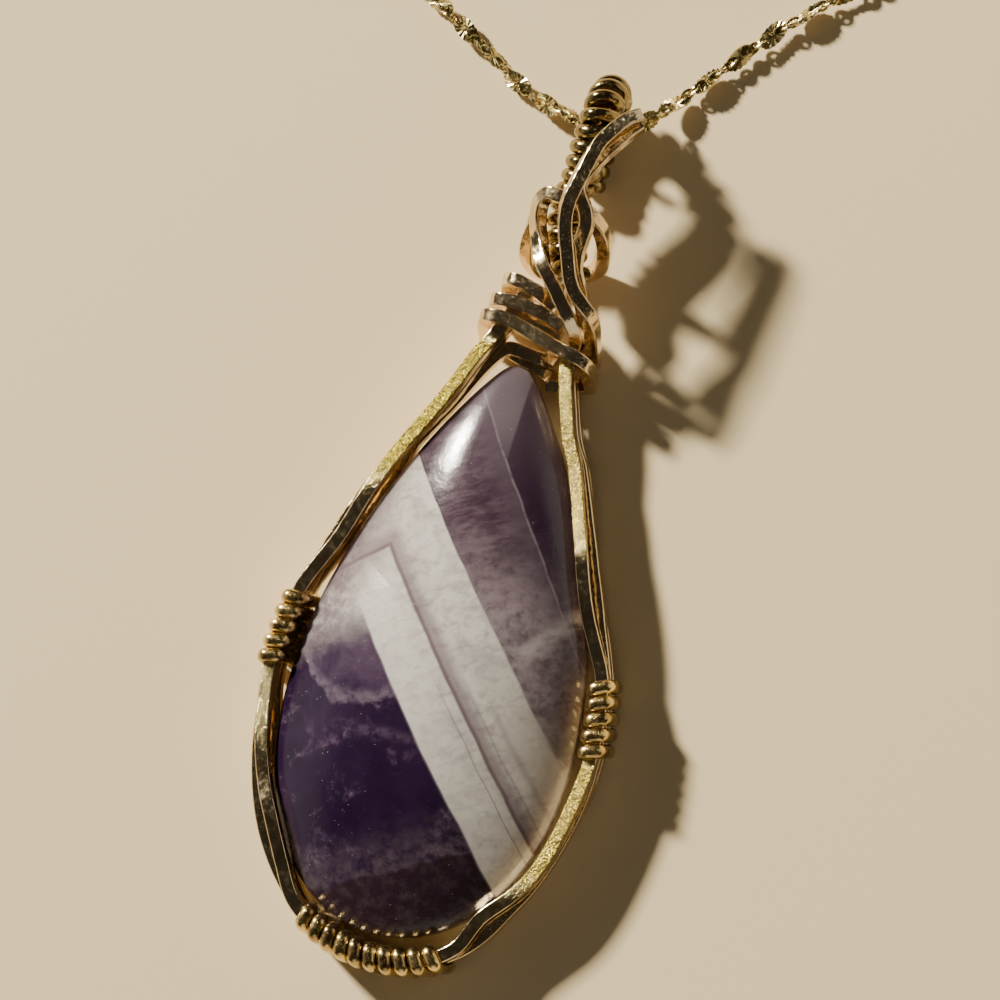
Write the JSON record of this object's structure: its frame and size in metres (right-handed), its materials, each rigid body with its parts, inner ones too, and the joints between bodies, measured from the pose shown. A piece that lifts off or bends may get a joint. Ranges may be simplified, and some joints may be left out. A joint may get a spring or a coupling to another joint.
{
  "type": "pendant necklace",
  "caption": "Pear-shaped violet stone framed in stacked square wire, bound with wire wraps, with a scrolled wire bail on a fine chain lying in a loop.",
  "frame": {"origin": "middle of the stone's flat back, on the surface that the pendant lies on", "axes": "+Y from the stone towards the bail, +Z out of the stone's domed face, +X to the right of the face"},
  "size_m": [0.1385, 0.2033, 0.0073],
  "materials": {
    "amethyst": "polished",
    "gold_wire": "polished",
    "gold_chain": "polished"
  },
  "bodies": {
    "root": {"stone": "amethyst", "front_wire": "gold_wire", "middle_wire": "gold_wire", "back_wire": "gold_wire", "left_wrap": "gold_wire", "right_wrap": "gold_wire", "bottom_wrap": "gold_wire", "neck_band": "gold_wire", "upper_ring": "gold_wire", "scroll_wire": "gold_wire", "bail_core": "gold_wire", "bail_coil": "gold_wire", "chain_left": "gold_chain", "chain_right": "gold_chain", "clasp": "gold_chain"}
  },
  "joints": []
}
